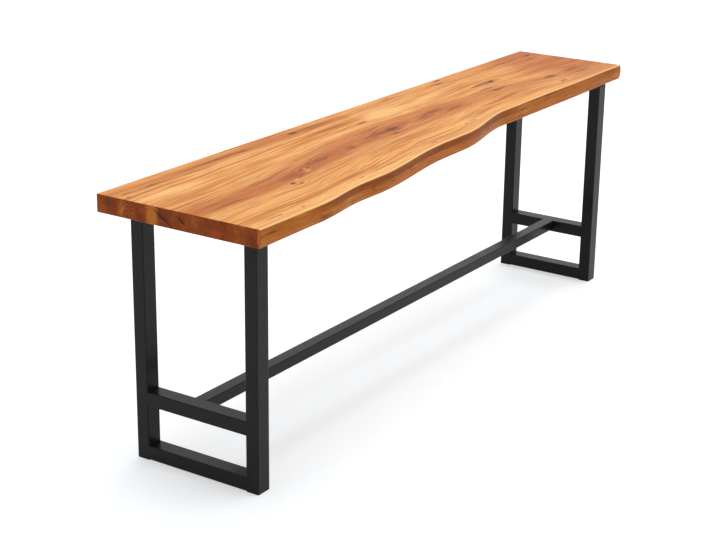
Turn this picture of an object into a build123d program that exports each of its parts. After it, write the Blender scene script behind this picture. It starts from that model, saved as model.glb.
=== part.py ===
from build123d import *
import math
import os

# A bar table: a thick live-edge slab on two welded end frames of rectangular steel tube,
# tied together by one low stretcher that serves as the foot rail.
# X runs along the slab, Y across it with the live edge at the front (-Y) and the
# straight sawn edge at the rear (+Y), and Z is up from the floor. The origin is on
# the floor under the middle of the slab. Left and right are seen from the front.
# All sizes are millimetres.

# Slab
table_height = 1000.0
slab_length = 2945.0
slab_width = 685.0           # at the left end, where the slab is widest
slab_thickness = 65.0
slab_arris = 2.5             # planed bevel round the top face and the underside

# Live edge: how far the front edge steps back from its widest line, in three soft steps
first_step_start = 340.0     # from the left end of the slab
first_step_run = 300.0
first_step_depth = 33.0
second_step_start = 745.0
second_step_run = 540.0
second_step_depth = 58.0
third_step_start = 1445.0
third_step_run = 420.0
third_step_depth = 68.0
ripple_length = 640.0        # faint waves left by the trunk's own surface
ripple_height = 2.0
live_edge_spacing = 150.0    # distance between the points that guide the curve
crown_top = 2.5              # the live face leans back this far at its top edge
crown_bottom = 5.0           # and this far, on average, at its bottom edge
undercut_swing = 3.0         # the bottom edge wanders in and out by this much
undercut_length = 1300.0     # over this distance along the slab

# End frames, of one rectangular tube
tube_depth = 64.0            # along the slab
tube_width = 53.0            # across the slab in a leg, and upright in a rail
tube_wall = 3.0
tube_corner = 4.0            # outer rounding of the tube
frame_width_left = 538.0     # over the legs; each frame suits the slab's width there
frame_width_right = 468.0
rear_leg_setback = 67.5      # the rear legs stand in line, this far in from the rear edge
cope_gap = 0.2               # where a tube's end is coped round another tube's corner
end_overhang = 117.5         # slab end to the outer face of the frame
cross_rail_top = 262.0       # top face of the cross rails and the stretcher

# Stretcher, between the cross rails
stretcher_width = 53.0
stretcher_height = 43.0
stretcher_setback = 283.5    # its middle, in from the rear edge

# Top plates, welded across the leg tops
plate_width = 80.0
plate_thickness = 8.0
plate_corner = 8.0
plate_margin = 4.0           # the plate stands this far inside the outer leg faces

# Floor glides, ribbed plugs in the open leg ends
glide_pad = 2.0
glide_pad_setback = 0.8      # the pad stands this far inside the tube's outline
plug_depth = 24.0
plug_rib_depth = 1.6
plug_rib_height = 2.0
plug_rib_pitch = 7.0
plug_rib_count = 3
plug_clearance = 0.2

# Stretcher joint: a spigot on each cross rail slides into the stretcher's end
spigot_length = 75.0
spigot_wall = 3.0
spigot_clearance = 0.3
joint_screw_inset = 38.0     # from the cross rail's inner face

# Screws and bolts share one metric size
thread_radius = 4.0
thread_clearance = 0.1       # threads are plain cylinders, this much apart
hole_clearance = 0.5
head_radius = 7.0
head_height = 4.4
socket_across_flats = 5.0
socket_depth = 2.6
joint_screw_tip = 3.0        # the screw stands this far past the spigot's wall

# Slab fixing: bolts from below through the top plates into threaded inserts
insert_radius = 6.0
insert_length = 20.0
insert_hole_spare = 3.0      # the blind hole is this much deeper than the insert
bolt_grip = 17.0             # length of bolt inside the insert
washer_radius = 12.0
washer_thickness = 2.0
slot_length = 20.0           # the two outer holes are slots, so the wood can move
outer_bolt_inset = 55.0      # from the inner face of the leg

# Heights and stations worked out from the sizes above
slab_underside = table_height - slab_thickness
plate_underside = slab_underside - plate_thickness
leg_length = plate_underside - glide_pad
frame_x = slab_length / 2 - end_overhang - tube_depth / 2
rear_leg_y = slab_width / 2 - rear_leg_setback
cross_rail_middle = cross_rail_top - tube_width / 2
bottom_rail_middle = glide_pad + tube_width / 2
stretcher_y = slab_width / 2 - stretcher_setback
stretcher_middle = cross_rail_top - stretcher_height / 2
stretcher_underside = cross_rail_top - stretcher_height
stretcher_span = 2 * frame_x - tube_depth
joint_screw_x = stretcher_span / 2 - joint_screw_inset
sides = {"left": (-1, frame_width_left), "right": (1, frame_width_right)}


def soft_step(station, start, run):
    """Rises smoothly from 0 to 1 over a run."""
    t = min(max((station - start) / run, 0.0), 1.0)
    return t * t * (3.0 - 2.0 * t)


def live_edge(station, lean):
    """Y of the front edge at a distance from the left end, leaning back by lean."""
    setback = first_step_depth * soft_step(station, first_step_start, first_step_run)
    setback += second_step_depth * soft_step(station, second_step_start, second_step_run)
    setback += third_step_depth * soft_step(station, third_step_start, third_step_run)
    setback += ripple_height * (1.0 - math.cos(2.0 * math.pi * station / ripple_length)) / 2.0
    return setback + lean - slab_width / 2.0


def slab_section(height, lean_at, inset):
    """Outline of the slab at one height: three straight sides and the live edge."""
    count = round(slab_length / live_edge_spacing)
    reach = slab_length / 2 - inset
    rear = slab_width / 2 - inset
    xs = [reach * (2 * i / count - 1) for i in range(count + 1)]
    stations = [x + slab_length / 2 for x in xs]
    front = [(x, live_edge(s, lean_at(s) + inset)) for x, s in zip(xs, stations)]
    outline = Spline(*front) + Polyline(front[-1], (reach, rear), (-reach, rear), front[0])
    return Pos(0, 0, height) * make_face(outline)


def top_lean(station):
    """How far the live face leans back at its top edge."""
    return crown_top


def middle_lean(station):
    """The live face stands furthest out at half its height."""
    return 0.0


def bottom_lean(station):
    """How far the live face leans back at its bottom edge."""
    return crown_bottom + undercut_swing * math.sin(2.0 * math.pi * station / undercut_length)


def tube(size_x, size_y, length):
    """Rectangular tube standing on the XY plane, its middle on Z."""
    bore = Rectangle(size_x - 2 * tube_wall, size_y - 2 * tube_wall)
    return extrude(RectangleRounded(size_x, size_y, tube_corner) - bore, length)


def cope_cutter(size_x, size_y, length):
    """Outside of a tube, which shapes the end of the tube that meets it."""
    return extrude(RectangleRounded(size_x, size_y, tube_corner), length)


def button_screw(length):
    """Button-head socket screw, head seat at Z 0, shank up, head down."""
    head = extrude(Circle(head_radius), -head_height)
    socket = extrude(RegularPolygon(socket_across_flats / 2, 6, major_radius=False), socket_depth)
    shank = extrude(Circle(thread_radius), length)
    return head + shank - Pos(0, 0, -head_height) * socket


def leg_places(frame_width):
    """Y of the front and rear legs of a frame."""
    return rear_leg_y - frame_width + tube_width, rear_leg_y


def frame_middle(frame_width):
    """Y halfway between the legs of a frame."""
    return sum(leg_places(frame_width)) / 2


def slab_bolt_places(frame_width):
    """Y of the slab bolts along a top plate, from rear to front."""
    outer = frame_width / 2 - tube_width - outer_bolt_inset
    middle = frame_middle(frame_width)
    return [middle + outer, middle, middle - outer]


def make_slab():
    """Live-edge slab with blind holes for the inserts in its underside."""
    middle = slab_underside + slab_thickness / 2
    sections = [
        slab_section(slab_underside, bottom_lean, slab_arris),
        slab_section(slab_underside + slab_arris, bottom_lean, 0.0),
        slab_section(middle, middle_lean, 0.0),
        slab_section(table_height - slab_arris, top_lean, 0.0),
        slab_section(table_height, top_lean, slab_arris),
    ]
    slab = loft(sections, ruled=True)
    hole = extrude(Circle(insert_radius), insert_length + insert_hole_spare)
    for side, frame_width in sides.values():
        for y in slab_bolt_places(frame_width):
            slab -= Pos(side * frame_x, y, slab_underside) * hole
    return slab


def make_leg(side, y):
    """Full-height leg from its floor glide to the top plate."""
    return Pos(side * frame_x, y, glide_pad) * tube(tube_depth, tube_width, leg_length)


def make_rail(side, frame_width, middle):
    """Rail between the two legs of a frame, its ends coped round their corners."""
    length = frame_width - 2 * tube_width + 2 * tube_corner
    start = frame_middle(frame_width) - length / 2
    rail = Pos(side * frame_x, start, middle) * Rot(-90, 0, 0) * tube(tube_depth, tube_width, length)
    cutter = cope_cutter(tube_depth + 2 * cope_gap, tube_width, leg_length)
    for y in leg_places(frame_width):
        rail -= Pos(side * frame_x, y, 0) * cutter
    return rail


def make_top_plate(side, frame_width):
    """Flat plate across the leg tops: one round hole between two slots."""
    length = frame_width - 2 * plate_margin
    profile = Pos(0, frame_middle(frame_width)) * RectangleRounded(plate_width, length, plate_corner)
    radius = thread_radius + hole_clearance
    rear, middle, front = slab_bolt_places(frame_width)
    for y in (rear, front):
        profile -= Pos(0, y) * Rot(0, 0, 90) * SlotOverall(slot_length, 2 * radius)
    profile -= Pos(0, middle) * Circle(radius)
    return Pos(side * frame_x, 0, plate_underside) * extrude(profile, plate_thickness)


def make_glide(side, y):
    """Ribbed plug in the end of a leg, with the pad that meets the floor."""
    rib_x = tube_depth - 2 * (tube_wall + plug_clearance)
    rib_y = tube_width - 2 * (tube_wall + plug_clearance)
    pad_x = tube_depth - 2 * glide_pad_setback
    pad_y = tube_width - 2 * glide_pad_setback
    pad = extrude(RectangleRounded(pad_x, pad_y, tube_corner), glide_pad)
    plug = extrude(Rectangle(rib_x - 2 * plug_rib_depth, rib_y - 2 * plug_rib_depth), plug_depth)
    rib = extrude(Rectangle(rib_x, rib_y), plug_rib_height)
    for i in range(plug_rib_count):
        plug += Pos(0, 0, i * plug_rib_pitch) * rib
    return Pos(side * frame_x, y, 0) * (pad + Pos(0, 0, glide_pad) * plug)


def along_x(piece, start_x):
    """Lays a standing piece along X on the middle line of the stretcher."""
    return Pos(start_x, stretcher_y, stretcher_middle) * Rot(0, 90, 0) * piece


def drill_up(piece, side, radius):
    """Drills the bottom wall at the screw of one end of the stretcher."""
    drill = extrude(Circle(radius), stretcher_height / 2)
    return piece - Pos(side * joint_screw_x, stretcher_y, stretcher_underside) * drill


def make_spigot(side):
    """Short folded tube welded to a cross rail, inside the stretcher's end."""
    size_x = stretcher_height - 2 * (tube_wall + spigot_clearance)
    size_y = stretcher_width - 2 * (tube_wall + spigot_clearance)
    bore = Rectangle(size_x - 2 * spigot_wall, size_y - 2 * spigot_wall)
    spigot = extrude(Rectangle(size_x, size_y) - bore, spigot_length)
    start_x = -stretcher_span / 2 if side < 0 else stretcher_span / 2 - spigot_length
    return drill_up(along_x(spigot, start_x), side, thread_radius + thread_clearance)


def make_stretcher():
    """Long tube coped to the cross rails, drilled from below at both ends."""
    length = stretcher_span + 2 * tube_corner
    stretcher = along_x(tube(stretcher_height, stretcher_width, length), -length / 2)
    cutter = Rot(-90, 0, 0) * cope_cutter(tube_depth, tube_width + 2 * cope_gap, 2 * stretcher_width)
    for side in (-1, 1):
        stretcher -= Pos(side * frame_x, stretcher_y - stretcher_width, cross_rail_middle) * cutter
        stretcher = drill_up(stretcher, side, thread_radius + hole_clearance)
    return stretcher


def make_joint_screws():
    """Screws from below that hold the stretcher on its spigots."""
    length = tube_wall + spigot_clearance + spigot_wall + joint_screw_tip
    screw = button_screw(length)
    return [Pos(x, stretcher_y, stretcher_underside) * screw for x in (-joint_screw_x, joint_screw_x)]


def at_slab_bolts(piece, height):
    """Copies a piece to every place where a bolt holds the slab down."""
    places = [(side * frame_x, y) for side, width in sides.values() for y in slab_bolt_places(width)]
    return [Pos(x, y, height) * piece for x, y in places]


def make_slab_bolts():
    """Bolts that hold the slab down on its frames."""
    bolt = button_screw(washer_thickness + plate_thickness + bolt_grip)
    return at_slab_bolts(bolt, plate_underside - washer_thickness)


def make_washers():
    """Washers that bridge the slots of the top plates."""
    ring = Circle(washer_radius) - Circle(thread_radius + hole_clearance)
    return at_slab_bolts(extrude(ring, washer_thickness), plate_underside - washer_thickness)


def make_inserts():
    """Threaded inserts, flush with the slab's underside."""
    ring = Circle(insert_radius) - Circle(thread_radius + thread_clearance)
    return at_slab_bolts(extrude(ring, insert_length), slab_underside)


def write(node, shape):
    """Writes one piece, or a group of like pieces, under its own name."""
    if isinstance(shape, list):
        shape = Compound(children=[Part(piece.wrapped) for piece in shape])
    export_step(shape, f"parts/{node}.step")


os.makedirs("parts", exist_ok=True)
write("slab_top", make_slab())
write("threaded_inserts", make_inserts())
write("slab_bolts", make_slab_bolts())
write("slab_bolt_washers", make_washers())
write("stretcher", make_stretcher())
write("stretcher_screws", make_joint_screws())
for name, (side, frame_width) in sides.items():
    for end, y in zip(("front", "rear"), leg_places(frame_width)):
        write(f"leg_{name}_{end}", make_leg(side, y))
        write(f"floor_glide_{name}_{end}", make_glide(side, y))
    write(f"bottom_rail_{name}", make_rail(side, frame_width, bottom_rail_middle))
    write(f"cross_rail_{name}", make_rail(side, frame_width, cross_rail_middle))
    write(f"top_plate_{name}", make_top_plate(side, frame_width))
    write(f"stretcher_spigot_{name}", make_spigot(side))
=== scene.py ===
"""Looks of the bar table: an oiled live-edge slab on black powder-coated tube frames."""

import logging
import math
from collections.abc import Mapping, Sequence
from dataclasses import dataclass
from enum import Enum
from typing import Any

import bpy
import numpy as np
from mathutils import Matrix, Vector, noise


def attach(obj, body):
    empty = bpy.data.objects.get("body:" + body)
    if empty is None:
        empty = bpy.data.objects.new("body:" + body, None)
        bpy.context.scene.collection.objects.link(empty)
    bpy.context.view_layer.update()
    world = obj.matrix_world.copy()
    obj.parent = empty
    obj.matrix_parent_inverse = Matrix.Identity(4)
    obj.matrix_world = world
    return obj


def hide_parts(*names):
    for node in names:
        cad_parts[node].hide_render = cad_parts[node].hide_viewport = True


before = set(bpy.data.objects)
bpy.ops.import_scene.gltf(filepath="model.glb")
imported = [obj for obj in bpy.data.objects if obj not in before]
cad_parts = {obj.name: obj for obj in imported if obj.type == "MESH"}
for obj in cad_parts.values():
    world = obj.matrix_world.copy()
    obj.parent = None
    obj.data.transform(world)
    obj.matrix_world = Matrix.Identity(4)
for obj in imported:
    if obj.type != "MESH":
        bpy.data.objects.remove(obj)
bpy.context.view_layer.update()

Tree = bpy.types.NodeTree
Socket = bpy.types.NodeSocket
Pair = tuple[float, float]
Triple = tuple[float, float, float]
Steps = tuple[Triple, ...]
Loop = tuple[np.ndarray | float, float]
Inputs = Mapping[str | int, Any] | Sequence[Any]

log = logging.getLogger("bar_table")
MM = 0.001
FAR = 1000.0                  # metres, an axis so long that a mark doesn't end along it
TINY = 1e-9                   # keeps a division away from zero
BODY = "root"
WHITE = "#FFFFFF"
BELOW, ABOVE, MIXED = 6, 7, 2      # a Mix node's two colours and the colour that it gives
LEAST, MOST, DRAWN = 2, 3, 1       # a Random Value node's limits and the number that it gives


def linear(code: str) -> tuple[float, float, float, float]:
    """Turns an sRGB hex colour into linear light.

    Args:
        code: the colour as #RRGGBB.

    Returns:
        Red, green, blue and an alpha of one.
    """
    channels = [int(code[i:i + 2], 16) / 255.0 for i in (1, 3, 5)]
    lit = [c / 12.92 if c <= 0.04045 else ((c + 0.055) / 1.055) ** 2.4 for c in channels]
    return (lit[0], lit[1], lit[2], 1.0)


def feed(tree: Tree, node: bpy.types.Node, inputs: Inputs) -> None:
    """Gives the inputs of a node their values and links.

    Args:
        tree: the node's tree.
        node: the node.
        inputs: a value, or a socket to link, for each input, by name or number or in order.
    """
    rows = inputs.items() if isinstance(inputs, Mapping) else enumerate(inputs)
    for key, value in rows:
        if isinstance(value, Socket):
            tree.links.new(value, node.inputs[key])
        else:
            node.inputs[key].default_value = value


def add_node(
    tree: Tree, kind: str, inputs: Inputs = (), output: str | int = 0,
    ramp: Sequence[tuple[float, str]] = (), **settings: Any,
) -> Socket | None:
    """Adds a node with its settings, its input values and its links.

    Args:
        tree: the node tree that gets the node.
        kind: Blender's type name of the node.
        inputs: a value, or a socket to link, for each input, by name or number or in order.
        output: the output that is wanted, named or numbered.
        ramp: stops of a colour ramp, each a place and a hex colour.
        settings: properties of the node.

    Returns:
        The wanted output, or None where the node has no outputs.
    """
    node = tree.nodes.new(kind)
    for name, value in settings.items():
        setattr(node, name, value)
    feed(tree, node, inputs)
    for index, (place, code) in enumerate(ramp):
        stops = node.color_ramp.elements
        stop = stops[index] if index < len(stops) else stops.new(place)
        stop.position = place
        stop.color = linear(code)
    return node.outputs[output] if node.outputs else None


def between(value: Socket, span: Pair, onto: Pair) -> dict[str, Any]:
    """The inputs that map a span of a value onto another span."""
    ends = {"From Min": span[0], "From Max": span[1], "To Min": onto[0], "To Max": onto[1]}
    return {"Value": value} | ends


def graded(station: np.ndarray, level: float, steps: Steps) -> np.ndarray:
    """A level that changes in soft steps.

    Args:
        station: where it is wanted.
        level: the level before the first step.
        steps: start, run and change of each step.

    Returns:
        The level at each station.
    """
    levels = np.full(station.shape, level)
    for start, run, change in steps:
        t = np.clip((station - start) / run, 0.0, 1.0)
        levels = levels + change * (t * t * (3.0 - 2.0 * t))
    return levels


class MarkKind(Enum):
    """What a mark in the timber is, named by the finish's field that holds its colour."""

    PALE = "pale"
    STAIN = "stain"
    STREAK = "streak"
    KNOT = "knot"


@dataclass(frozen=True)
class WoodMark:
    """One mark in the timber: its middle, half sizes, strength and turn. Millimetres and degrees."""

    along: float
    across: float
    half_length: float
    half_width: float
    strength: float
    turn: float = 0.0


@dataclass(frozen=True)
class Figure:
    """A clouded pattern: one cloud's size along each axis in millimetres, and how fine it breaks up."""

    size: Triple
    detail: float
    roughness: float = 0.5


@dataclass(frozen=True)
class Finish:
    """A surface: what it is made of, how it was made, and the record's slot for it."""

    name: str
    slot: str

    def material(self) -> bpy.types.Material:
        """Gives the node material of the finish, made once and shared by its pieces.

        Returns:
            The material.
        """
        material = bpy.data.materials.get(self.name)
        if material is None:
            material = bpy.data.materials.new(self.name)
            material.use_nodes = True
            tree = material.node_tree
            feed(tree, tree.nodes["Principled BSDF"], self.shade(tree))
        return material

    def shade(self, tree: Tree) -> dict[str, Any]:
        """The shader's inputs, each a value or a socket of the tree."""
        raise NotImplementedError

    def clouds(self, tree: Tree, place: Socket, figure: Figure, output: str = "Fac") -> Socket:
        """Draws a clouded pattern.

        Args:
            tree: the material's node tree.
            place: the coordinates, in metres.
            figure: the pattern's sizes.
            output: the noise output that is wanted.

        Returns:
            The pattern.
        """
        scale = tuple(1.0 / (size * MM) for size in figure.size)
        place = add_node(tree, "ShaderNodeMapping", {"Vector": place, "Scale": scale})
        inputs = {"Vector": place, "Scale": 1.0, "Detail": figure.detail, "Roughness": figure.roughness}
        return add_node(tree, "ShaderNodeTexNoise", inputs, output)

    def wandering(self, tree: Tree, place: Socket, figure: Figure, reach: Triple) -> Socket:
        """Lets coordinates wander a little, so that nothing drawn on them is clean.

        Args:
            tree: the material's node tree.
            place: the coordinates, in metres.
            figure: the waves that they follow.
            reach: how far they wander along each axis, in millimetres.

        Returns:
            The wandering coordinates.
        """
        inputs = (self.clouds(tree, place, figure, "Color"), (0.5, 0.5, 0.5))
        shift = add_node(tree, "ShaderNodeVectorMath", inputs, operation="SUBTRACT")
        inputs = (shift, tuple(r * MM for r in reach), place)
        return add_node(tree, "ShaderNodeVectorMath", inputs, operation="MULTIPLY_ADD")

    def layer(
        self, tree: Tree, colour: Socket, value: Socket, code: str,
        span: Pair, strength: float, soft: bool = False,
    ) -> Socket:
        """Lays one colour over another, as far as a value goes along a span.

        Args:
            tree: the material's node tree.
            colour: the colour below.
            value: the value that steers the layer.
            code: the layer's hex colour.
            span: values at which the layer starts and at which it is full.
            strength: how much the full layer covers.
            soft: True to ease in and out.

        Returns:
            The layered colour.
        """
        kind = "SMOOTHSTEP" if soft else "LINEAR"
        inputs = between(value, span, (0.0, strength))
        factor = add_node(tree, "ShaderNodeMapRange", inputs, interpolation_type=kind)
        inputs = {"Factor": factor, BELOW: colour, ABOVE: linear(code)}
        return add_node(tree, "ShaderNodeMix", inputs, MIXED, data_type="RGBA")


@dataclass(frozen=True)
class MarkedWood(Finish):
    """Oiled timber with its own marks, each kind with its colour."""

    marks: Mapping[MarkKind, Sequence[WoodMark]]
    pale: str
    stain: str
    streak: str
    knot: str

    def marked(self, tree: Tree, place: Socket, colour: Socket, ragged: Socket) -> Socket:
        """Draws all marks over a colour, kind by kind.

        Args:
            tree: the material's node tree.
            place: coordinates whose first axis runs along the marks and second across them.
            colour: the timber's colour without marks.
            ragged: streaks around zero, which fray the marks.

        Returns:
            The colour with the marks.
        """
        for kind in MarkKind:
            total: Socket | float = 0.0
            for mark in self.marks[kind]:
                inputs = {
                    "Vector": place,
                    "Location": (mark.along * MM, mark.across * MM, 0.0),
                    "Rotation": (0.0, 0.0, math.radians(mark.turn)),
                    "Scale": (mark.half_length * MM, mark.half_width * MM, FAR),
                }
                centred = add_node(tree, "ShaderNodeMapping", inputs, vector_type="TEXTURE")
                inputs = {"Vector": centred}
                near = add_node(tree, "ShaderNodeTexGradient", inputs, "Fac", gradient_type="SPHERICAL")
                drawn = add_node(tree, "ShaderNodeMath", (near, mark.strength), operation="MULTIPLY")
                total = add_node(tree, "ShaderNodeMath", (total, drawn), operation="MAXIMUM")
            frayed = add_node(tree, "ShaderNodeMath", (ragged, total, total), operation="MULTIPLY_ADD")
            code = getattr(self, kind.value)
            colour = self.layer(tree, colour, frayed, code, span=(0.03, 0.62), strength=0.92, soft=True)
        return colour


@dataclass(frozen=True)
class OiledFaceGrain(MarkedWood):
    """Planed hardwood faces under hard-wax oil.

    The oil wets the grain, so the eye gets honey streaks with red heartwood, pale sapwood
    at the live edge and a satin sheen that the open pores break up.
    """

    dark: str = "#B96826"
    mid: str = "#D88842"
    light: str = "#F0AC62"
    bright: str = "#FCC27A"
    heart: str = "#AE5220"
    rear: str = "#B96526"
    line: str = "#82421A"
    sapwood: str = "#FCD292"
    face: str = "#C26C20"
    # painted shade: the colour of the band under the live face's top rim, darkened as if in shadow
    painted_face_shade: str = "#7C3A06"
    face_patch: str = "#D6883A"
    sway: Figure = Figure((800.0, 70.0, 70.0), 1.0, 0.55)
    sway_reach: Triple = (0.0, 18.0, 18.0)
    bands: Figure = Figure((900.0, 60.0, 60.0), 2.0, 0.55)
    streaks: Figure = Figure((400.0, 10.0, 10.0), 4.0, 0.55)
    streak_share: float = 0.6
    lines: Figure = Figure((380.0, 5.0, 5.0), 2.0, 0.55)
    fibres: Figure = Figure((80.0, 2.6, 2.6), 1.0, 0.55)   # near 0.3 mm wide in fact, coarser to show
    patches: Figure = Figure((170.0, 24.0, 24.0), 3.0, 0.55)
    flecks: Figure = Figure((90.0, 14.0, 14.0), 3.0, 0.55)
    mark_sway: Figure = Figure((80.0, 80.0, 80.0), 1.0)
    mark_reach: Triple = (60.0, 13.0, 0.0)
    raggedness: float = 2.2
    zone_fray: float = 1.1
    zone_edge: float = 0.02

    def shade(self, tree: Tree) -> dict[str, Any]:
        """Draws grain, heartwood, marks, sapwood and a band of painted shade on the live face.

        Args:
            tree: the material's node tree.

        Returns:
            The shader's inputs.
        """
        grain = add_node(tree, "ShaderNodeAttribute", output="Vector", attribute_name="grain")
        heart, rear, rim, face, painted_shade = (
            add_node(tree, "ShaderNodeAttribute", output="Fac", attribute_name=name)
            for name in ("heart", "rear_band", "edge_distance", "live_face", "painted_face_shade")
        )
        grain = self.wandering(tree, grain, self.sway, self.sway_reach)
        bands, streaks, lines, fibres, patches, flecks = (
            self.clouds(tree, grain, figure)
            for figure in (self.bands, self.streaks, self.lines, self.fibres, self.patches, self.flecks)
        )

        share = add_node(tree, "ShaderNodeMath", (streaks, self.streak_share), operation="MULTIPLY")
        inputs = (bands, 1.0 - self.streak_share, share)
        tone = add_node(tree, "ShaderNodeMath", inputs, operation="MULTIPLY_ADD")
        stops = ((0.37, self.dark), (0.60, self.bright), (0.44, self.mid), (0.52, self.light))
        colour = add_node(tree, "ShaderNodeValToRGB", {"Fac": tone}, ramp=stops)

        inputs = (streaks, self.raggedness, -self.raggedness / 2.0)
        ragged = add_node(tree, "ShaderNodeMath", inputs, operation="MULTIPLY_ADD")
        spots = []
        for value, span in ((patches, (0.48, 0.68)), (flecks, (0.56, 0.70))):
            found = add_node(tree, "ShaderNodeMapRange", between(value, span, (0.0, 1.0)))
            spots.append(add_node(tree, "ShaderNodeMath", (found, face), operation="MULTIPLY"))
        # The face-shade zone is painted shade: a darker band under the top rim of the live face
        zones = (
            (heart, self.heart, 0.88), (rear, self.rear, 0.8), (face, self.face, 1.0),
            (spots[0], self.face_patch, 0.75), (painted_shade, self.painted_face_shade, 0.85),
            (spots[1], self.knot, 0.6),
        )
        for zone, code, strength in zones:
            inputs = (ragged, self.zone_fray, zone)
            uneven = add_node(tree, "ShaderNodeMath", inputs, operation="MULTIPLY_ADD")
            inside = add_node(tree, "ShaderNodeMath", (zone, self.zone_edge), operation="GREATER_THAN")
            uneven = add_node(tree, "ShaderNodeMath", (uneven, inside), operation="MULTIPLY")
            colour = self.layer(tree, colour, uneven, code, span=(0.1, 1.2), strength=strength, soft=True)
        colour = self.layer(tree, colour, lines, self.line, span=(0.53, 0.71), strength=0.65)
        colour = self.layer(tree, colour, fibres, self.dark, span=(0.48, 0.72), strength=0.42)

        place = add_node(tree, "ShaderNodeTexCoord", output="Object")
        place = self.wandering(tree, place, self.mark_sway, self.mark_reach)
        colour = self.marked(tree, place, colour, ragged)
        # Colour, fray and span in metres, and strength, of the pale rims along the live edge
        rims = ((self.pale, 0.040, (0.075, 0.0), 0.35), (self.sapwood, 0.005, (0.013, 0.0), 0.85))
        for code, fray, span, strength in rims:
            uneven = add_node(tree, "ShaderNodeMath", (ragged, fray, rim), operation="MULTIPLY_ADD")
            colour = self.layer(tree, colour, uneven, code, span, strength, soft=True)

        rough = add_node(tree, "ShaderNodeMapRange", between(fibres, (0.35, 0.70), (0.44, 0.60)))
        inputs = {"Strength": 0.12, "Distance": 0.6 * MM, "Height": fibres}
        relief = add_node(tree, "ShaderNodeBump", inputs)
        return {"Base Color": colour, "Roughness": rough, "Normal": relief, "Specular IOR Level": 0.10}


@dataclass(frozen=True)
class OiledEndGrain(MarkedWood):
    """Crosscut hardwood ends under hard-wax oil.

    The cut pores drink the oil, so the eye gets a darker, redder face with curved year rings
    and orange patches between them.
    """

    deep: str = "#86380C"
    mid: str = "#A64C15"
    bright: str = "#C46A28"
    ring: str = "#5A250A"
    pith_y: float = 110.0
    pith_z: float = 860.0
    ring_width: float = 10.0
    ring_share: float = 0.45
    ring_sway: Figure = Figure((70.0, 70.0, 70.0), 3.0)
    ring_reach: Triple = (0.0, 45.0, 45.0)
    patches: Figure = Figure((62.5, 62.5, 62.5), 5.0, 0.65)
    mark_sway: Figure = Figure((22.0, 22.0, 22.0), 2.0)
    mark_reach: Triple = (0.0, 14.0, 14.0)
    raggedness: float = 1.6
    pores: Figure = Figure((2.2, 2.2, 2.2), 1.0)           # near 0.2 mm in fact, coarser to show

    def shade(self, tree: Tree) -> dict[str, Any]:
        """Draws rings, patches, marks and pores.

        Args:
            tree: the material's node tree.

        Returns:
            The shader's inputs.
        """
        place = add_node(tree, "ShaderNodeTexCoord", output="Object")
        inputs = {
            "Vector": self.wandering(tree, place, self.ring_sway, self.ring_reach),
            "Location": (0.0, -self.pith_y * MM, -self.pith_z * MM), "Scale": (0.0, 1.0, 1.0),
        }
        from_pith = add_node(tree, "ShaderNodeMapping", inputs)
        radius = add_node(tree, "ShaderNodeVectorMath", {0: from_pith}, "Value", operation="LENGTH")
        inputs = {"W": radius, "Scale": 1.0 / (self.ring_width * MM), "Detail": 2.0}
        rings = add_node(tree, "ShaderNodeTexNoise", inputs, noise_dimensions="1D")
        inputs = (rings, self.ring_share, self.clouds(tree, place, self.patches))
        tone = add_node(tree, "ShaderNodeMath", inputs, operation="MULTIPLY_ADD")
        stops = ((0.55, self.deep), (0.95, self.bright), (0.75, self.mid))
        colour = add_node(tree, "ShaderNodeValToRGB", {"Fac": tone}, ramp=stops)
        colour = self.layer(tree, colour, rings, self.ring, span=(0.54, 0.74), strength=0.7)

        inputs = {0: self.wandering(tree, place, self.mark_sway, self.mark_reach)}
        parts = add_node(tree, "ShaderNodeSeparateXYZ", inputs).node.outputs
        flat = add_node(tree, "ShaderNodeCombineXYZ", {"X": parts["Y"], "Y": parts["Z"]})
        inputs = (rings, self.raggedness, -self.raggedness / 2.0)
        ragged = add_node(tree, "ShaderNodeMath", inputs, operation="MULTIPLY_ADD")
        colour = self.marked(tree, flat, colour, ragged)
        pores = self.clouds(tree, place, self.pores)
        colour = self.layer(tree, colour, pores, self.ring, span=(0.50, 0.72), strength=0.3)
        rough = add_node(tree, "ShaderNodeMapRange", between(pores, (0.3, 0.7), (0.48, 0.66)))
        inputs = {"Strength": 0.15, "Distance": 0.6 * MM, "Height": pores}
        relief = add_node(tree, "ShaderNodeBump", inputs)
        return {"Base Color": colour, "Roughness": rough, "Normal": relief, "Specular IOR Level": 0.15}


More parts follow.
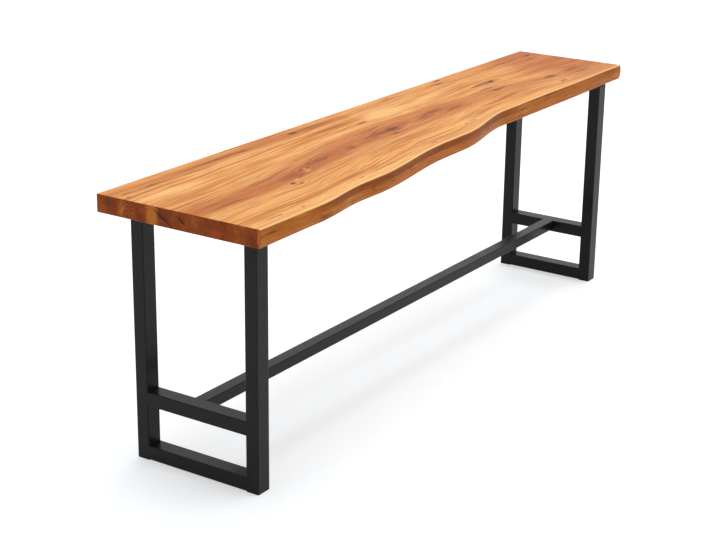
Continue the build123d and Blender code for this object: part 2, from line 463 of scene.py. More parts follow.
@dataclass(frozen=True)
class GrainedCoat(Finish):
    """A skin with fine relief: sprayed, plated or moulded. Millimetres.

    Two close tones and a patchy gloss keep the face from looking flat, and the relief
    breaks the highlight as the real skin does.
    """

    low: str = "#161310"
    high: str = "#1F1B17"
    metallic: float = 0.0
    rough_low: float = 0.25
    rough_high: float = 0.35
    specular: float = 0.15
    patch_size: float = 90.0
    relief_size: float = 2.4
    relief: float = 0.10
    stretch: Triple = (1.0, 1.0, 1.0)
    grain_share: float = 0.5
    tone_span: Pair = (0.55, 0.95)

    def shade(self, tree: Tree) -> dict[str, Any]:
        """Draws tone, gloss and relief.

        Args:
            tree: the material's node tree.

        Returns:
            The shader's inputs.
        """
        place = add_node(tree, "ShaderNodeTexCoord", output="Object")
        patches = self.clouds(tree, place, Figure((self.patch_size,) * 3, 4.0))
        sizes = tuple(self.relief_size / stretch for stretch in self.stretch)
        grains = self.clouds(tree, place, Figure(sizes, 2.0))
        inputs = (grains, self.grain_share, patches)
        mixed = add_node(tree, "ShaderNodeMath", inputs, operation="MULTIPLY_ADD")
        factor = add_node(tree, "ShaderNodeMapRange", between(mixed, self.tone_span, (0.0, 1.0)))
        inputs = {"Factor": factor, BELOW: linear(self.low), ABOVE: linear(self.high)}
        colour = add_node(tree, "ShaderNodeMix", inputs, MIXED, data_type="RGBA")
        gloss = between(mixed, self.tone_span, (self.rough_low, self.rough_high))
        inputs = {"Strength": self.relief, "Distance": 0.5 * MM, "Height": grains}
        return {
            "Base Color": colour, "Roughness": add_node(tree, "ShaderNodeMapRange", gloss),
            "Normal": add_node(tree, "ShaderNodeBump", inputs),
            "Metallic": self.metallic, "Specular IOR Level": self.specular,
        }


# Cured powder melts into a satin skin with a faint orange-peel relief, a soft grey sheen on black.
POWDER_COAT = GrainedCoat("powder_coated_steel_satin_black", "coated_steel")
# A zinc bath leaves a bright, slightly cloudy silver.
ZINC_PLATE = GrainedCoat(
    "zinc_plated_steel_bright", "zinc_steel", "#A9ABAD", "#C3C5C6", 1.0, 0.28, 0.42, 0.5, 6.0, 0.7, 0.06
)
# Black oxide on steel is a thin dark conversion layer, with a dull oily gleam.
BLACK_OXIDE = GrainedCoat(
    "black_oxide_steel_oiled", "black_screw", "#161616", "#222120", 1.0, 0.34, 0.48, 0.5, 5.0, 0.8, 0.08
)
# Turned brass keeps fine tool rings and a warm yellow gleam.
TURNED_BRASS = GrainedCoat(
    "brass_turned", "brass", "#A5803F", "#C49C55", 1.0, 0.25, 0.38, 0.5, 5.0, 0.6, 0.10, (1.0, 1.0, 8.0)
)
# Moulded polyethylene is a dull, faintly waxy black.
MOULDED_GLIDE = GrainedCoat(
    "polyethylene_moulded_black", "glide_plastic", "#121212", "#1B1B1B", 0.0, 0.50, 0.62, 0.4, 12.0, 1.5
)


def marks_by_kind(**rows: Sequence[Sequence[float]]) -> dict[MarkKind, tuple[WoodMark, ...]]:
    """Marks by their kind, from rows of a mark's values for each kind."""
    return {kind: tuple(WoodMark(*row) for row in rows[kind.value]) for kind in MarkKind}


# A row gives along, across, half length, half width, strength and turn
FACE_MARKS = marks_by_kind(
    pale=(
        (-1330, 165, 240, 90, 0.55), (-945, -100, 26, 12, 0.4, 20), (-830, -62, 36, 12, 0.5),
        (-826, -40, 14, 14, 0.45), (60, 190, 200, 70, 1.0), (120, 130, 120, 40, 0.5),
        (1045, -74, 36, 14, 0.4),
    ),
    stain=(
        (-920, -60, 120, 50, 0.5, 12), (-700, -15, 120, 22, 1.0, 6), (-470, -10, 70, 30, 0.7),
        (-230, 20, 150, 26, 0.9, 2), (-150, 15, 100, 40, 0.7), (80, 20, 70, 18, 0.6),
        (190, 45, 110, 26, 0.9), (270, 312, 26, 9, 0.7), (300, 2, 90, 12, 0.8),
        (790, 128, 130, 34, 0.55), (1060, -32, 85, 26, 0.95), (1160, 268, 210, 15, 0.6),
        (1270, -30, 120, 40, 0.5), (1345, 217, 70, 14, 0.85),
    ),
    streak=(
        (-1410, 256, 60, 7, 0.9), (-1345, -295, 100, 5, 0.6), (-1340, -54, 150, 7, 0.7, 2),
        (-1300, 255, 190, 8, 0.8), (-1292, 262, 40, 8, 0.9), (-1290, -91, 190, 8, 0.75, 1),
        (-1245, 196, 140, 5, 0.6, 2), (-1240, -155, 110, 6, 0.35), (-1060, 250, 260, 7, 0.6),
        (-1050, -270, 110, 6, 0.4, 3), (-1000, 205, 160, 5, 0.45, 2), (-1000, 28, 300, 6, 0.45, 4),
        (-920, 285, 270, 9, 0.8), (-905, -85, 40, 9, 0.8, 15), (-792, -265, 30, 6, 0.7),
        (-755, 279, 70, 8, 0.9), (-700, 50, 250, 6, 0.45, 4), (-680, -225, 120, 5, 0.5, 8),
        (-592, -248, 60, 6, 0.6, 8), (-330, 270, 160, 6, 0.5), (-330, -10, 160, 6, 0.5, 4),
        (-290, 289, 200, 9, 0.8), (-260, 165, 120, 6, 0.4), (-260, -175, 100, 5, 0.4, 3),
        (-223, -215, 40, 6, 0.6), (-210, 78, 130, 8, 0.7, 3), (-150, 168, 55, 9, 0.85, 2),
        (240, 300, 150, 7, 0.45), (280, -128, 230, 5, 0.6, 2), (400, 250, 110, 6, 0.35),
        (610, 284, 130, 8, 0.7), (690, 68, 90, 8, 0.75), (715, 131, 90, 12, 0.8),
        (720, 28, 110, 13, 0.7), (760, -40, 150, 5, 0.4), (1000, 262, 180, 7, 0.5),
        (1025, -118, 44, 11, 0.85), (1120, 95, 140, 6, 0.4), (1180, 160, 120, 6, 0.45),
        (1260, -83, 100, 9, 0.75),
    ),
    knot=(
        (-1439, 225, 9, 7, 1.0), (-1305, -298, 14, 6, 0.7), (-1179, -306, 11, 6, 0.8),
        (-985, -116, 26, 15, 0.75, 20), (-965, -140, 24, 10, 0.6, 15), (-900, 288, 22, 8, 0.8),
        (-845, -38, 14, 8, 0.8, 20), (-802, -38, 16, 9, 0.75), (-650, -16, 34, 10, 0.5, 5),
        (-443, 289, 42, 14, 1.0), (-197, -30, 16, 9, 0.75), (-155, 22, 60, 14, 1.0, 2),
        (90, -168, 14, 8, 0.55), (177, -168, 13, 7, 0.7), (635, 282, 30, 8, 0.9),
        (672, 321, 34, 9, 0.85), (690, 28, 44, 9, 0.8), (805, 130, 36, 17, 1.0),
        (1395, 265, 44, 11, 0.95),
    ),
)
# On the ends, along is Y and across is the height
END_MARKS = marks_by_kind(
    pale=(
        (-336, 968, 10, 60, 0.7), (102, 968, 36, 70, 1.0), (235, 965, 24, 40, 0.5),
    ),
    stain=(
        (-165, 955, 40, 14, 0.7), (315, 955, 24, 16, 0.6),
    ),
    streak=(
        (290, 978, 26, 20, 0.65),
    ),
    knot=(
        (-20, 971, 32, 8, 0.9, 38), (22, 944, 20, 7, 0.8, 20), (55, 966, 58, 10, 1.0, 31),
    ),
)
FACE_GRAIN = OiledFaceGrain(
    "hardwood_planed_and_oiled", "oiled_wood", FACE_MARKS, "#F7BC78", "#9A5022", "#86471B", "#522414"
)
END_GRAIN = OiledEndGrain(
    "hardwood_crosscut_and_oiled", "oiled_wood", END_MARKS, "#DC7E30", "#BC4A12", "#664028", "#4A1E08"
)


def add_object(name: str, data: bpy.types.ID) -> bpy.types.Object:
    """Adds an object to the scene.

    Args:
        name: its name.
        data: its mesh, light or camera.

    Returns:
        The object, at the origin.
    """
    made = bpy.data.objects.new(name, data)
    bpy.context.scene.collection.objects.link(made)
    return made


def take_place(name: str, mesh: bpy.types.Mesh, node: str) -> None:
    """Adds a finished mesh to the table in place of a CAD node.

    Args:
        name: the piece's name.
        mesh: its mesh, in the table's own frame.
        node: the CAD node that it stands for.
    """
    piece = add_object(name, mesh)
    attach(piece, BODY)
    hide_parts(node)
    log.info("%s: %d faces", name, len(mesh.polygons))


@dataclass
class LiveEdgeSlab:
    """The thick top: a live edge at the front, sawn at the rear and at both ends. Millimetres.

    A soft step is given by its start, its run and its change.
    """

    length: float = 2945.0
    width: float = 685.0
    thickness: float = 65.0
    height: float = 1000.0
    arris: float = 2.5
    setbacks: Steps = ((340.0, 300.0, 33.0), (745.0, 540.0, 58.0), (1445.0, 420.0, 68.0))
    ripple_length: float = 640.0
    ripple_height: float = 2.0
    crown_top: float = 2.5
    crown_bottom: float = 5.0
    undercut_swing: float = 3.0
    undercut_length: float = 1300.0

    # Hollows of the drawknife: length, height, share and shift of the seed
    hollows: tuple[tuple[float, ...], ...] = ((170.0, 55.0, 1.0, 0.0), (45.0, 22.0, 0.4, 5.0))
    hollow_depth: float = 0.9
    hollow_reach: float = 12.0
    seed: float = 3.7

    # Lines of the mesh: at an arris and behind the live edge as multiples of the arris
    arris_lines: tuple[float, ...] = (0.0, 0.25, 0.6, 1.0, 2.0)
    live_lines: tuple[float, ...] = (4.0, 6.0, 9.0, 13.0, 18.0, 25.0)
    lines_across: int = 40
    spacing_along: float = 10.0
    spacing_up: float = 3.0

    # Run of the timber: its heart line, and how its grain bends round a knot
    heart_line: tuple[Pair, ...] = (
        (-1472.0, -72.0), (-1000.0, -55.0), (-700.0, -20.0), (-490.0, 12.0), (-150.0, 25.0),
        (200.0, 28.0), (700.0, 40.0), (1050.0, -45.0), (1472.0, -60.0)
    )
    front_share: float = 280.0
    rear_share: float = 395.0
    bend_length: float = 2.2
    bend_width: float = 2.6
    bend: float = 0.75

    # Zones of colour: where each lies, how wide it is and how its strength changes along the slab
    heart_width: float = 85.0
    heart_level: float = 0.78
    heart_steps: Steps = ((-1100.0, 400.0, 0.14), (250.0, 250.0, -0.32))
    far_heart_steps: Steps = ((850.0, 400.0, 0.75),)
    rear_band_y: float = 282.0
    rear_band_width: float = 34.0
    rear_steps: Steps = ((-110.0, 50.0, -0.55), (850.0, 250.0, 0.35))
    face_depth: float = 3.0
    face_steps: Steps = ((1.5, 3.0, 1.3),)
    # The shade band is painted shade: the live face darker under its top rim, most along the middle of
    # the slab
    shade_level: float = 0.35
    shade_steps: Steps = ((-1250.0, 300.0, 0.65), (250.0, 400.0, -0.65))
    shade_fall: Steps = ((16.0, 26.0, -1.0),)
    rim_drop: float = 0.8
    rim_slope: float = 12.0

    def front_line(self, x: np.ndarray) -> np.ndarray:
        """The live edge where it stands furthest out.

        Args:
            x: stations along the slab.

        Returns:
            Y of the edge at each station.
        """
        station = x + self.length / 2.0
        ripple = (1.0 - np.cos(2.0 * math.pi * station / self.ripple_length)) / 2.0
        return graded(station, 0.0, self.setbacks) + self.ripple_height * ripple - self.width / 2.0

    def lean(self, x: np.ndarray, z: np.ndarray) -> np.ndarray:
        """How far the crowned live face leans back at a height.

        Args:
            x: stations along the slab.
            z: heights above the floor.

        Returns:
            The setback at each point.
        """
        rise = (z - (self.height - self.thickness / 2.0)) / (self.thickness / 2.0)
        turn = 2.0 * math.pi * (x + self.length / 2.0) / self.undercut_length
        bottom = self.crown_bottom + self.undercut_swing * np.sin(turn)
        return np.where(rise > 0.0, self.crown_top, bottom) * rise * rise

    def heart_y(self, x: np.ndarray) -> np.ndarray:
        """Y of the heart line at each X."""
        return np.interp(x, *np.array(self.heart_line).T)

    def lines_over(self, reach: float, step: float) -> np.ndarray:
        """Mesh lines across a side, close together at both of its edges.

        Args:
            reach: the side's length.
            step: the spacing in its middle.

        Returns:
            Distances from one edge to the other.
        """
        close = np.array(self.arris_lines) * self.arris
        count = max(int(round((reach - 2.0 * close[-1]) / step)), 2)
        middle = np.linspace(close[-1], reach - close[-1], count + 1)
        return np.concatenate([close[:-1], middle, reach - close[:-1][::-1]])

    def mesh_points(self) -> tuple[np.ndarray, np.ndarray, list[tuple[np.ndarray, bool]]]:
        """Lays a grid over the six sides of the slab and rounds its arrises.

        Returns:
            The points, each with its distance from the live edge, and the sides as index grids
            with a mark for those whose faces turn over. The two ends come last.
        """
        xs = self.lines_over(self.length, self.spacing_along) - self.length / 2.0
        zs = self.lines_over(self.thickness, self.spacing_up) + self.height - self.thickness
        near = np.array(self.arris_lines + self.live_lines) * self.arris
        far = np.array(self.arris_lines[::-1]) * self.arris
        share = np.linspace(0.0, 1.0, self.lines_across + 2)[1:-1]
        lines = np.concatenate([near, share, far])

        index = np.full((len(xs), len(lines), len(zs)), -1)
        skin = np.zeros(index.shape, bool)
        for axis in range(3):
            for side in (0, -1):
                skin[(slice(None),) * axis + (side,)] = True
        index[skin] = np.arange(int(skin.sum()))
        i, j, k = np.nonzero(skin)
        x, z = xs[i], zs[k]
        front = self.front_line(x) + self.lean(x, z)
        rear = np.full(len(x), self.width / 2.0)
        start, end = front + near[-1], rear - far[0]
        y = np.where(j < len(near), front + lines[j], start + (end - start) * lines[j])
        y = np.where(j < len(near) + len(share), y, rear - lines[j])

        points = np.stack([x, y, z], axis=1)
        to_edges = (
            (x + self.length / 2.0, self.length / 2.0 - x),
            (y - front, rear - y),
            (z - self.height + self.thickness, self.height - z),
        )
        inside = [[np.clip(self.arris - edge, 0.0, None) for edge in pair] for pair in to_edges]
        reach = np.stack([high - low for low, high in inside], axis=1)
        size = np.linalg.norm(reach, axis=1, keepdims=True)
        points += np.where(size > 0.0, reach * (self.arris / np.maximum(size, TINY) - 1.0), 0.0)
        points[:, 1] += self.hewn(points, y - front)
        sides = [
            (index[:, :, -1], False), (index[:, :, 0], True), (index[:, 0, :], False),
            (index[:, -1, :], True), (index[0], True), (index[-1], False),
        ]
        return points, y - front, sides

    def hewn(self, points: np.ndarray, depth: np.ndarray) -> np.ndarray:
        """Shallow hollows that the drawknife leaves in the live face.

        Args:
            points: the slab's points.
            depth: their distance from the live edge.

        Returns:
            How far each point moves in from the front.
        """
        moved = np.zeros(len(points))
        for n in np.nonzero(depth < self.hollow_reach)[0]:
            x, _, z = points[n]
            hollow = sum(
                share * noise.noise(Vector((x / along, z / up, self.seed + shift)))
                for along, up, share, shift in self.hollows
            )
            fade = 1.0 - depth[n] / self.hollow_reach
            moved[n] = self.hollow_depth * min(max(0.5 + 0.5 * hollow, 0.0), 1.0) * fade
        return moved

    def grain(self, points: np.ndarray) -> np.ndarray:
        """The timber's own coordinates: along, across and down, bent with the live edge and the knots.

        Args:
            points: the slab's points.

        Returns:
            Three lengths for each point, in metres.
        """
        x, y, z = points.T
        front, rear, heart = self.front_line(x), self.width / 2.0, self.heart_y(x)
        low = self.front_share * (y - front) / (heart - front)
        high = self.front_share + self.rear_share * (y - heart) / (rear - heart)
        across = np.where(y < heart, low, high)
        for mark in FACE_MARKS[MarkKind.STAIN] + FACE_MARKS[MarkKind.KNOT]:
            away_x = (x - mark.along) / (self.bend_length * mark.half_length)
            away_y = (y - mark.across) / (self.bend_width * mark.half_width)
            push = self.bend * mark.strength * np.exp(-away_x ** 2 - away_y ** 2)
            across -= push * (y - mark.across)
        return np.stack([x, across, self.height - z], axis=1) * MM

    def zones(self, points: np.ndarray, depth: np.ndarray) -> dict[str, np.ndarray]:
        """What the finish reads at each point.

        Args:
            points: the slab's points.
            depth: their distance from the live edge.

        Returns:
            A number or a vector for each point, by the attribute's name.
        """
        x, y, z = points.T
        down = self.height - z
        heart = np.exp(-(((y - self.heart_y(x)) / self.heart_width) ** 2))
        heart = heart * graded(x, self.heart_level, self.heart_steps)
        rear = np.exp(-(((y - self.rear_band_y) / self.rear_band_width) ** 2))
        face = np.clip(1.0 - depth / self.face_depth, 0.0, 1.0) * graded(down, 0.0, self.face_steps)
        # painted shade on the live face: darker just under the top rim, fading with the shade fall
        shade = graded(x, self.shade_level, self.shade_steps) * graded(down, 1.0, self.shade_fall)
        rim = np.clip(depth, 0.0, None) + self.rim_slope * np.clip(down - self.rim_drop, 0.0, None)
        return {
            "grain": self.grain(points),
            "heart": np.maximum(heart, graded(x, 0.0, self.far_heart_steps)),
            "rear_band": rear * graded(x, 1.0, self.rear_steps),
            "live_face": face,
            "painted_face_shade": face * shade,
            "edge_distance": rim * MM,
        }

    def build(self) -> None:
        """Makes the slab's mesh, with its attributes and its two finishes, in place of the CAD slab."""
        points, depth, sides = self.mesh_points()
        quads: list[list[int]] = []
        ends: list[int] = []
        for number, (grid, turned) in enumerate(sides):
            corners = (grid[:-1, :-1], grid[1:, :-1], grid[1:, 1:], grid[:-1, 1:])
            faces = np.stack(corners, axis=-1).reshape(-1, 4)
            quads.extend((faces[:, ::-1] if turned else faces).tolist())
            ends.extend([int(number >= len(sides) - 2)] * len(faces))
        mesh = bpy.data.meshes.new("live_edge_slab")
        mesh.from_pydata((points * MM).tolist(), [], quads)
        mesh.polygons.foreach_set("use_smooth", [True] * len(quads))
        mesh.materials.append(FACE_GRAIN.material())
        mesh.materials.append(END_GRAIN.material())
        mesh.polygons.foreach_set("material_index", ends)
        for name, values in self.zones(points, depth).items():
            kind, member = ("FLOAT_VECTOR", "vector") if values.ndim > 1 else ("FLOAT", "value")
            attribute = mesh.attributes.new(name, kind, "POINT")
            attribute.data.foreach_set(member, values.astype(np.float32).ravel())
        mesh.validate()
        take_place("live_edge_slab", mesh, "slab_top")


@dataclass
class SteelFrames:
    """The two welded end frames, the stretcher between them, the plates under the slab and the glides."""

    coated: tuple[str, ...] = (
        "leg_{}_front", "leg_{}_rear", "bottom_rail_{}", "cross_rail_{}",
        "top_plate_{}", "stretcher_spigot_{}",
    )
    moulded: tuple[str, ...] = ("floor_glide_{}_front", "floor_glide_{}_rear")

    def build(self) -> None:
        """Dresses the pieces, which keep their CAD shape."""
        dressed = [("stretcher", POWDER_COAT)]
        for side in ("left", "right"):
            dressed += [(name.format(side), POWDER_COAT) for name in self.coated]
            dressed += [(name.format(side), MOULDED_GLIDE) for name in self.moulded]
        for name, finish in dressed:
            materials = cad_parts[name].data.materials
            materials.clear()
            materials.append(finish.material())
            log.info("%s: %s", name, finish.name)


@dataclass(frozen=True)
class TurnedForm:
    """A fastener turned about its own upright axis, drawn as loops of points. Millimetres and degrees."""

    name: str
    ring: bool = True             # it has a bore, so its last loop meets its first
    segments: int = 36
    thread_pitch: float = 1.25
    thread_depth: float = 0.6
    loops_a_turn: int = 4
    sharp_from: float = 35.0

    def loops(self) -> list[Loop]:
        """Radius and height of each loop, from the lower middle out, up the outside and in at the top."""
        raise NotImplementedError

    def angles(self) -> np.ndarray:
        """Turn of each point of a loop, in radians."""
        return np.arange(self.segments) * 2.0 * math.pi / self.segments

    def threaded(self, crest: float, low: float, high: float) -> list[Loop]:
        """Loops of a screw thread that runs out at both ends.

        Args:
            crest: the thread's outer radius.
            low: height where it starts.
            high: height where it ends.

        Returns:
            The loops, from the lowest up.
        """
        made: list[Loop] = []
        for height in np.arange(low, high, self.thread_pitch / self.loops_a_turn):
            wave = (height / self.thread_pitch - self.angles() / (2.0 * math.pi)) % 1.0
            run_out = min((height - low) / self.thread_pitch, (high - height) / self.thread_pitch, 1.0)
            made.append((crest - self.thread_depth * run_out * np.abs(2.0 * wave - 1.0), height))
        return made

    def mesh(self) -> bpy.types.Mesh:
        """Joins the loops into one closed mesh.

        Returns:
            The mesh, with its seat at the origin.
        """
        turn = self.angles()
        loops = [
            np.stack([radius * np.cos(turn), radius * np.sin(turn), np.full(turn.shape, height)], axis=1)
            for radius, height in self.loops()
        ]
        count, around = len(loops), self.segments
        points = np.concatenate(loops)
        steps = [(i, (i + 1) % around) for i in range(around)]
        faces: list[tuple[int, ...]] = []
        for k in range(count if self.ring else count - 1):
            low, high = k * around, (k + 1) % count * around
            faces += [(low + i, low + j, high + j, high + i) for i, j in steps]
        if not self.ring:
            last, middle = (count - 1) * around, count * around
            points = np.concatenate([points, loops[0].mean(axis=0)[None], loops[-1].mean(axis=0)[None]])
            faces += [(middle, j, i) for i, j in steps]
            faces += [(middle + 1, last + i, last + j) for i, j in steps]
        mesh = bpy.data.meshes.new(self.name)
        mesh.from_pydata((points * MM).tolist(), [], faces)
        mesh.polygons.foreach_set("use_smooth", [True] * len(faces))
        mesh.set_sharp_from_angle(angle=math.radians(self.sharp_from))
        return mesh


@dataclass(frozen=True)
class ButtonScrew(TurnedForm):
    """A button-head screw with a hexagon socket: head below its seat, thread above."""

    ring: bool = False
    length: float = 27.0
    thread_radius: float = 4.0
    thread_start: float = 0.2
    tip: float = 1.0
    tip_step: float = 0.1
    head_radius: float = 7.0
    head_height: float = 4.4
    head_rim: float = 0.6
    head_edge: float = 0.15
    flat_share: float = 0.56
    dome_loops: int = 9
    socket_across: float = 5.0
    socket_depth: float = 2.6
    socket_chamfer: float = 0.25

    def loops(self) -> list[Loop]:
        """Draws socket, domed head, seat, thread and tip.

        Returns:
            The loops.
        """
        corner = math.pi / 6.0
        flat = (self.angles() + corner) % (2.0 * corner) - corner
        socket = self.socket_across / 2.0 / np.cos(flat)
        bottom = -self.head_height
        made: list[Loop] = [
            (socket, bottom + self.socket_depth), (socket, bottom + self.socket_chamfer),
            (socket + self.socket_chamfer, bottom), (self.flat_share * self.head_radius, bottom),
        ]
        for angle in np.linspace(0.0, math.pi / 2.0, self.dome_loops + 1)[1:]:
            radius = self.head_radius * (self.flat_share + (1.0 - self.flat_share) * math.sin(angle))
            rise = (self.head_height - self.head_rim) * (1.0 - math.cos(angle))
            made.append((radius, bottom + rise))
        made.append((self.head_radius, -self.head_edge))
        made.append((self.head_radius - self.head_edge, 0.0))
        made.append((self.thread_radius, 0.0))
        shoulder = self.length - self.tip
        made += self.threaded(self.thread_radius, self.thread_start, shoulder)
        made.append((self.thread_radius - self.tip_step, shoulder + self.tip_step))
        made.append((self.thread_radius - self.tip, self.length))
        return made


@dataclass(frozen=True)
class FlatWasher(TurnedForm):
    """A stamped washer with soft edges, its underside at the seat."""

    radius: float = 12.0
    bore: float = 4.5
    thickness: float = 2.0
    softness: float = 0.3

    def loops(self) -> list[Loop]:
        """Draws underside, rim, top and bore.

        Returns:
            The loops.
        """
        soft, top = self.softness, self.thickness
        outer, inner = self.radius - soft, self.bore + soft
        return [
            (inner, 0.0), (outer, 0.0), (self.radius, soft), (self.radius, top - soft),
            (outer, top), (inner, top), (self.bore, top - soft), (self.bore, soft),
        ]


@dataclass(frozen=True)
class ThreadedInsert(TurnedForm):
    """A turned insert with a coarse outer thread that bites into the wood."""

    thread_pitch: float = 2.5
    thread_depth: float = 0.8
    radius: float = 6.0
    bore: float = 4.1
    length: float = 20.0
    chamfer: float = 0.3

    def loops(self) -> list[Loop]:
        """Draws lower face, outer thread, upper face and bore.

        Returns:
            The loops.
        """
        outer, inner = self.radius - self.chamfer, self.bore + self.chamfer
        top = self.length - self.chamfer
        made: list[Loop] = [(inner, 0.0), (outer, 0.0)]
        made += self.threaded(self.radius, self.chamfer, top)
        made += [(outer, self.length), (inner, self.length), (self.bore, top), (self.bore, self.chamfer)]
        return made


@dataclass(frozen=True)
class Fastening:
    """One kind of fastener: its form, its seats, its finish and the CAD node that it stands for."""

    name: str
    form: TurnedForm
    places: Sequence[Pair]
    height: float
    finish: Finish
    node: str


@dataclass
class Fasteners:
    """Bolts, washers and inserts under the slab, and the stretcher's screws. Millimetres."""

    frame_x: float = 1323.0
    left_rows: tuple[float, ...] = (-128.5, 32.5, 193.5)
    right_rows: tuple[float, ...] = (-58.5, 67.5, 193.5)
    plate_underside: float = 927.0
    slab_underside: float = 935.0
    washer_thickness: float = 2.0
    joint_x: float = 1253.0
    joint_y: float = 59.0
    stretcher_underside: float = 219.0
    joint_length: float = 9.3
    seed: int = 11

    def build(self) -> None:
        """Makes the four kinds of fastener, each as one piece in place of its CAD node."""
        tree = self.point_tree()
        plates = [(-self.frame_x, y) for y in self.left_rows]
        plates += [(self.frame_x, y) for y in self.right_rows]
        joints = [(-self.joint_x, self.joint_y), (self.joint_x, self.joint_y)]
        washers = self.plate_underside - self.washer_thickness
        bolt = ButtonScrew("slab_bolt_form")
        washer = FlatWasher("washer_form", thickness=self.washer_thickness)
        insert = ThreadedInsert("insert_form")
        screw = ButtonScrew("joint_screw_form", length=self.joint_length)
        under_slab, under_bar = self.slab_underside, self.stretcher_underside
        for row in (
            ("button_bolts", bolt, plates, washers, ZINC_PLATE, "slab_bolts"),
            ("plate_washers", washer, plates, washers, ZINC_PLATE, "slab_bolt_washers"),
            ("wood_inserts", insert, plates, under_slab, TURNED_BRASS, "threaded_inserts"),
            ("joint_screws", screw, joints, under_bar, BLACK_OXIDE, "stretcher_screws"),
        ):
            self.repeat(tree, Fastening(*row))

    def point_tree(self) -> Tree:
        """Builds the tree that seats one fastener at each point, turned at random as by hand.

        Returns:
            The tree.
        """
        tree = bpy.data.node_groups.new("fasteners_at_points", "GeometryNodeTree")
        given = (
            ("Places", "Geometry"), ("Fastener", "Object"), ("Seat Height", "Float"),
            ("Largest Turn", "Float"), ("Seed", "Int"), ("Finish", "Material"),
        )
        for label, kind in given:
            tree.interface.new_socket(label, in_out="INPUT", socket_type="NodeSocket" + kind)
        tree.interface.new_socket("Fasteners", in_out="OUTPUT", socket_type="NodeSocketGeometry")
        values = add_node(tree, "NodeGroupInput").node.outputs
        lift = add_node(tree, "ShaderNodeCombineXYZ", {"Z": values["Seat Height"]})
        seats = add_node(tree, "GeometryNodeSetPosition", {"Geometry": values["Places"], "Offset": lift})
        form = add_node(tree, "GeometryNodeObjectInfo", {"Object": values["Fastener"]}, "Geometry")
        inputs = {LEAST: 0.0, MOST: values["Largest Turn"], "Seed": values["Seed"]}
        turn = add_node(tree, "FunctionNodeRandomValue", inputs, DRAWN, data_type="FLOAT")
        spin = add_node(tree, "ShaderNodeCombineXYZ", {"Z": turn})
        rotation = add_node(tree, "FunctionNodeEulerToRotation", {"Euler": spin})
        inputs = {"Points": seats, "Instance": form, "Rotation": rotation}
        placed = add_node(tree, "GeometryNodeInstanceOnPoints", inputs)
        real = add_node(tree, "GeometryNodeRealizeInstances", {"Geometry": placed})
        inputs = {"Geometry": real, "Material": values["Finish"]}
        dressed = add_node(tree, "GeometryNodeSetMaterial", inputs)
        add_node(tree, "NodeGroupOutput", {"Fasteners": dressed})
        return tree

    def repeat(self, tree: Tree, kind: Fastening) -> None:
        """Seats one kind of fastener at its places and turns the result into a plain mesh.

        Args:
            tree: the tree that repeats it.
            kind: the fastener.
        """
        points = bpy.data.meshes.new(kind.name + "_places")
        points.from_pydata([(x * MM, y * MM, 0.0) for x, y in kind.places], [], [])
        carrier = add_object(kind.name + "_carrier", points)
        source = add_object(kind.form.name, kind.form.mesh())
        modifier = carrier.modifiers.new("repeat", "NODES")
        modifier.node_group = tree
        values = {
            "Fastener": source, "Seat Height": kind.height * MM, "Largest Turn": 2.0 * math.pi,
            "Seed": self.seed, "Finish": kind.finish.material(),
        }
        for item in tree.interface.items_tree:
            if item.in_out == "INPUT" and item.name in values:
                modifier[item.identifier] = values[item.name]
        view = bpy.context.evaluated_depsgraph_get()
        mesh = bpy.data.meshes.new_from_object(carrier.evaluated_get(view), depsgraph=view)
        mesh.name = kind.name
        carrier.modifiers.remove(modifier)
        for piece in (carrier, source):
            bpy.data.objects.remove(piece)
        take_place(kind.name, mesh, kind.node)


@dataclass(frozen=True)
class Scrim:
    """A wide, even light: where it comes from, its spread in degrees and its watts per square metre."""

    name: str
    source: Triple
    spread: float
    strength: float

    def hang(self) -> None:
        """Adds the light to the scene."""
        data = bpy.data.lights.new(self.name, "SUN")
        data.angle = math.radians(self.spread)
        data.energy = self.strength
        lamp = add_object(self.name, data)
        lamp.rotation_euler = (-Vector(self.source)).to_track_quat("-Z", "Y").to_euler()


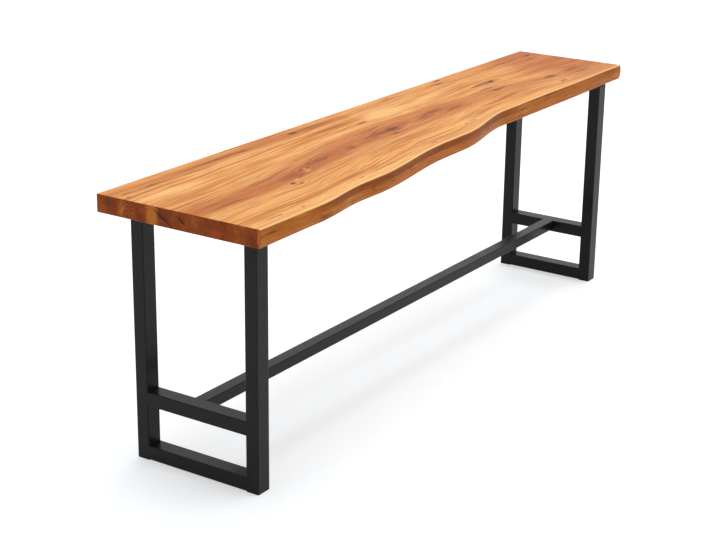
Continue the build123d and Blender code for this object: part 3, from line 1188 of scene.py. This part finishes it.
@dataclass
class Studio:
    """A pale floor, soft studio light and the camera. Metres, millimetres of lens, and degrees."""

    camera_place: Triple = (-5.4341, -3.3384, 2.5831)
    heading: float = 56.4284
    down: float = 19.0426
    roll: float = 0.7182
    lens: float = 83.83
    sensor: float = 36.0
    floor_reach: float = 60.0
    floor_colour: str = "#D9E1E7"      # cool, against the warm light that the wood throws down
    floor_glow: float = 0.485
    ambient: float = 0.35
    scrims: tuple[Scrim, ...] = (
        Scrim("overhead_light", (0.36, 0.06, 1.0), 58.0, 2.06),
        Scrim("front_fill", (0.25, -1.0, 0.45), 90.0, 0.65),
    )
    seen: tuple[str, ...] = ("Is Camera Ray", "Is Glossy Ray", "Is Transmission Ray")

    def build(self) -> None:
        """Sets up the floor, the world, the lights and the camera."""
        self.lay_floor()
        self.light_world()
        for scrim in self.scrims:
            scrim.hang()
        self.aim_camera()
        bpy.context.scene.view_settings.view_transform = "Standard"

    def seen_ray(self, tree: Tree) -> Socket:
        """One for rays that show the background, and zero for rays that only light the object.

        Args:
            tree: a node tree of the floor or the world.

        Returns:
            The factor's socket.
        """
        rays = add_node(tree, "ShaderNodeLightPath").node.outputs
        total: Socket | float = 0.0
        for name in self.seen:
            total = add_node(tree, "ShaderNodeMath", (total, rays[name]), operation="MAXIMUM")
        return total

    def lay_floor(self) -> None:
        """Lays a matt painted floor, which reads white to the camera and keeps the table's shadow."""
        mesh = bpy.data.meshes.new("studio_floor")
        reach = self.floor_reach
        corners = [(-reach, -reach, 0.0), (reach, -reach, 0.0), (reach, reach, 0.0), (-reach, reach, 0.0)]
        mesh.from_pydata(corners, [], [(0, 1, 2, 3)])
        floor = add_object("studio_floor", mesh)
        material = bpy.data.materials.new("painted_studio_floor")
        material.use_nodes = True
        tree = material.node_tree
        inputs = (self.seen_ray(tree), self.floor_glow)
        glow = add_node(tree, "ShaderNodeMath", inputs, operation="MULTIPLY")
        feed(tree, tree.nodes["Principled BSDF"], {
            "Base Color": linear(self.floor_colour), "Roughness": 0.9, "Specular IOR Level": 0.0,
            "Emission Color": linear(WHITE), "Emission Strength": glow,
        })
        mesh.materials.append(material)

    def light_world(self) -> None:
        """Makes the world white where it is seen, and a soft even light elsewhere."""
        world = bpy.data.worlds.new("studio_world")
        bpy.context.scene.world = world
        world.use_nodes = True
        tree = world.node_tree
        inputs = between(self.seen_ray(tree), (0.0, 1.0), (self.ambient, 1.0))
        level = add_node(tree, "ShaderNodeMapRange", inputs)
        feed(tree, tree.nodes["Background"], {"Color": linear(WHITE), "Strength": level})

    def aim_camera(self) -> None:
        """Stands the camera at the picture's viewpoint."""
        data = bpy.data.cameras.new("camera")
        data.lens = self.lens
        data.sensor_width = self.sensor
        data.sensor_fit = "HORIZONTAL"
        camera = add_object("camera", data)
        turns = ((-self.heading, "Z"), (90.0 - self.down, "X"), (self.roll, "Z"))
        turn, tilt, roll = (Matrix.Rotation(math.radians(angle), 4, axis) for angle, axis in turns)
        camera.matrix_world = Matrix.Translation(self.camera_place) @ turn @ tilt @ roll
        bpy.context.scene.camera = camera


def main() -> None:
    """Builds the table's pieces in order, then the studio."""
    logging.basicConfig(level=logging.INFO, format="%(name)s %(message)s")
    LiveEdgeSlab().build()
    SteelFrames().build()
    Fasteners().build()
    Studio().build()


if __name__ == "__main__":
    main()
